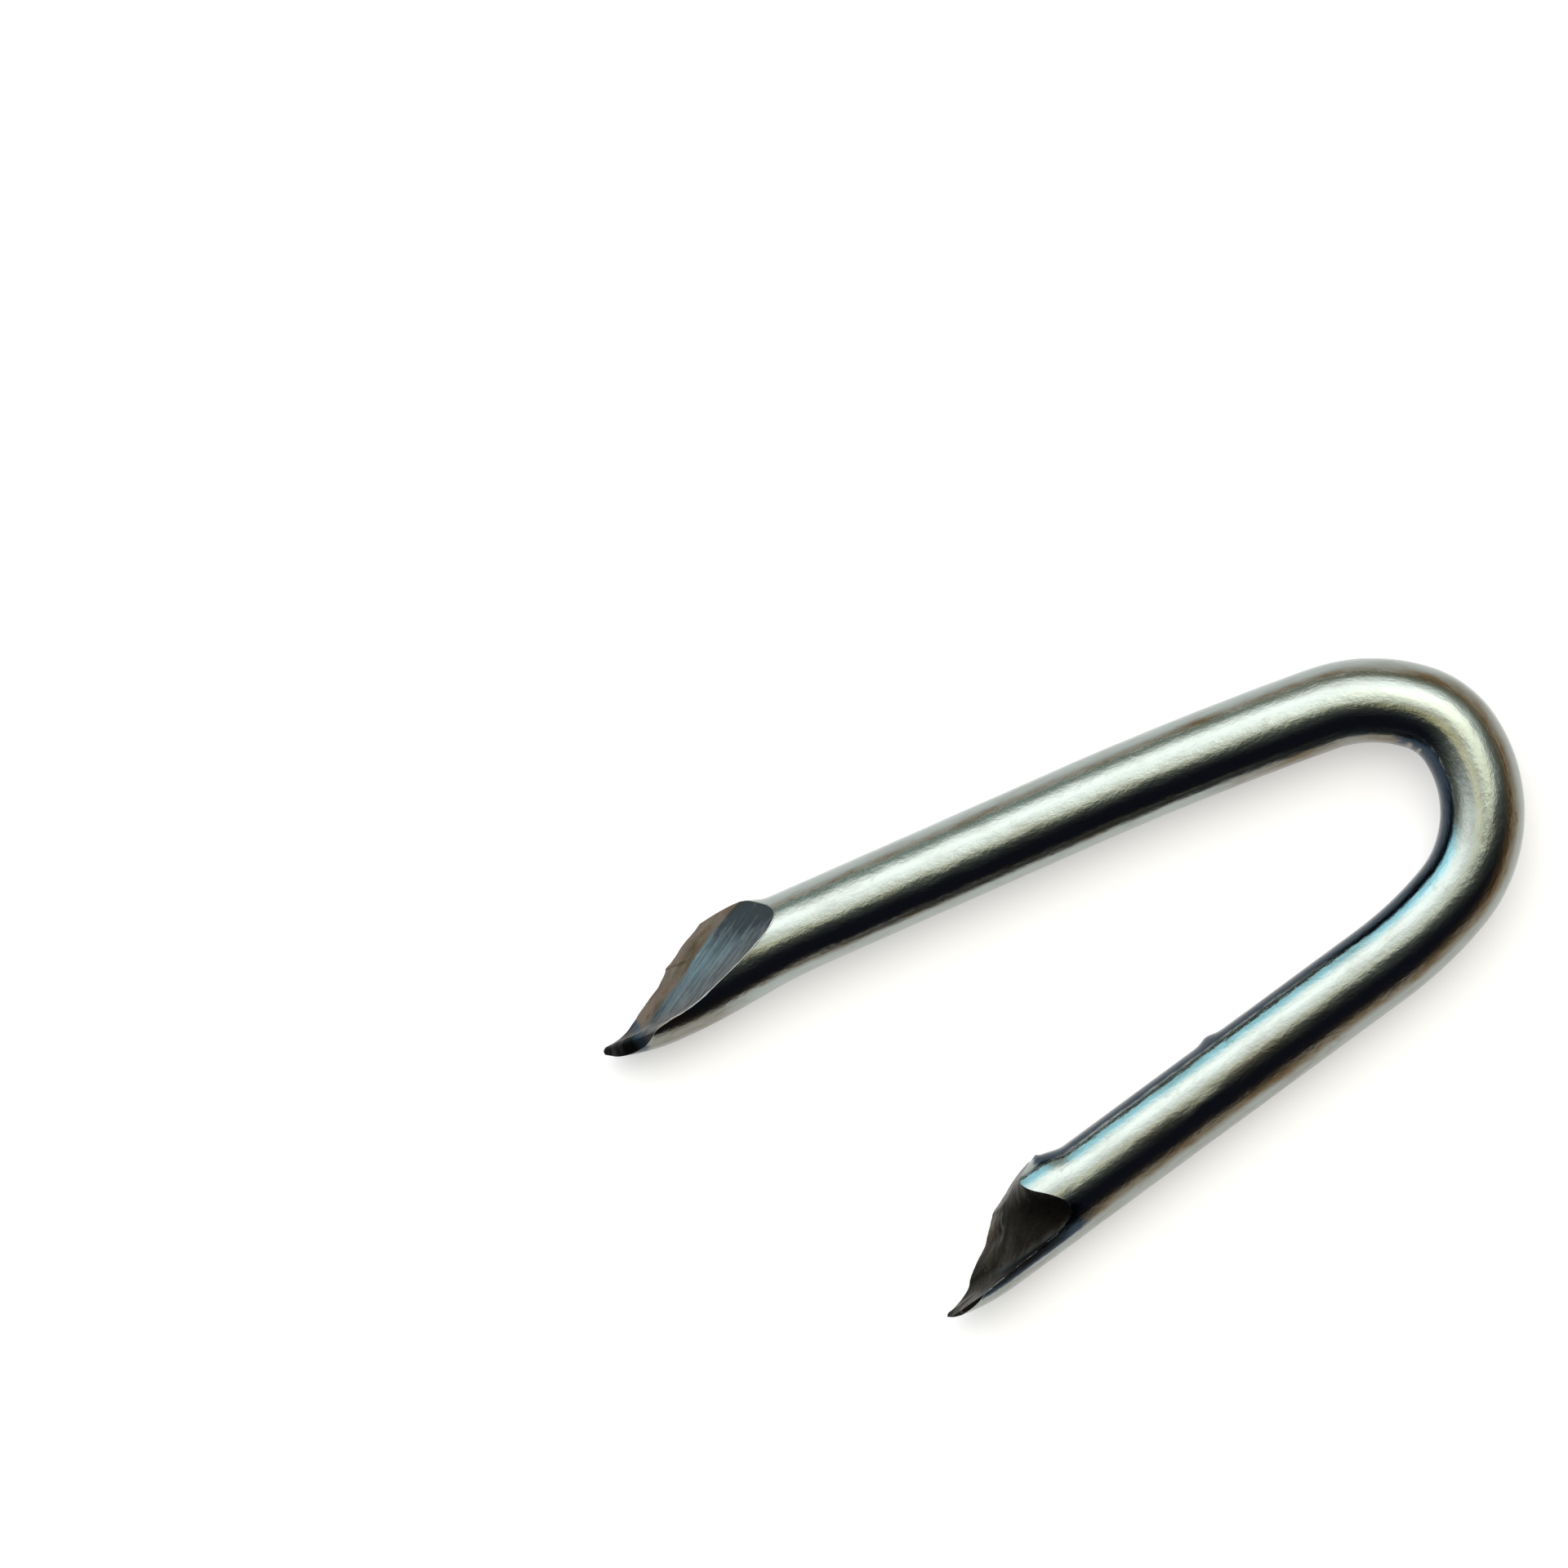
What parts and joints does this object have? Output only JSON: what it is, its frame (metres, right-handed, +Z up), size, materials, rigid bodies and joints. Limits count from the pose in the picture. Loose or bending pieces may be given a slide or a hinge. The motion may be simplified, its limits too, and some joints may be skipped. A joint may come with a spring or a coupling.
{
  "type": "fence staple",
  "caption": "Narrow V-shaped wire staple with a rounded crown and long sheared points, for holding fence wire to timber.",
  "frame": {"origin": "middle of the bounding box, on the surface that the staple lies on", "axes": "+X midway between the legs, from the points to the crown; +Y from the short leg to the long one; +Z up from the surface"},
  "size_m": [0.0444, 0.0224, 0.004],
  "materials": {
    "steel_wire": "bright drawn wire, lightly pitted"
  },
  "bodies": {
    "root": {"staple": "steel_wire"}
  },
  "joints": []
}
